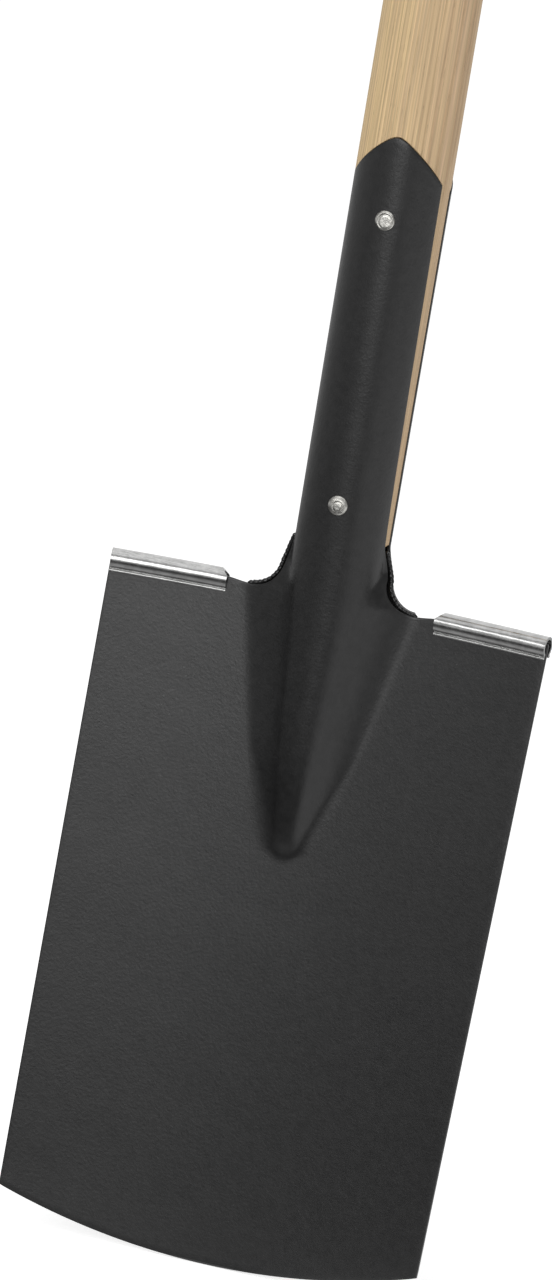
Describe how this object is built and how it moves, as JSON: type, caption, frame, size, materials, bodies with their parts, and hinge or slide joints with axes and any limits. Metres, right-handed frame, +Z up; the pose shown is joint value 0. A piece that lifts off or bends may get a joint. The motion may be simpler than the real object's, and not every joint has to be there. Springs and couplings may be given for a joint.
{
  "type": "garden spade",
  "caption": "Gardener's digging spade: dished steel blade with hollow frog, front and rear straps riveted to an ash shaft, rolled steel treads and a T-shaped grip",
  "frame": {"origin": "middle of the T-shaped grip, on the shaft's axis", "axes": "+Z up along the shaft away from the blade, -Y towards the blade's hollow face, +X to the right seen from that face"},
  "size_m": [0.1916, 0.0636, 1.1002],
  "materials": {
    "black_paint": "satin black stoved paint on pressed steel, finely textured",
    "bright_steel": "bright zinc-plated rolled steel with drawing lines along the tube",
    "rivet_steel": "hammered bright steel",
    "ash_wood": "sanded ash with a thin clear coat, straight grain"
  },
  "bodies": {
    "root": {"blade": "black_paint", "rear_strap": "black_paint", "left_weld": "black_paint", "right_weld": "black_paint", "left_tread": "bright_steel", "right_tread": "bright_steel", "upper_rivet": "rivet_steel", "lower_rivet": "rivet_steel", "shaft": "ash_wood", "grip": "ash_wood", "grip_wedge": "ash_wood", "grip_pin": "rivet_steel"}
  },
  "joints": []
}
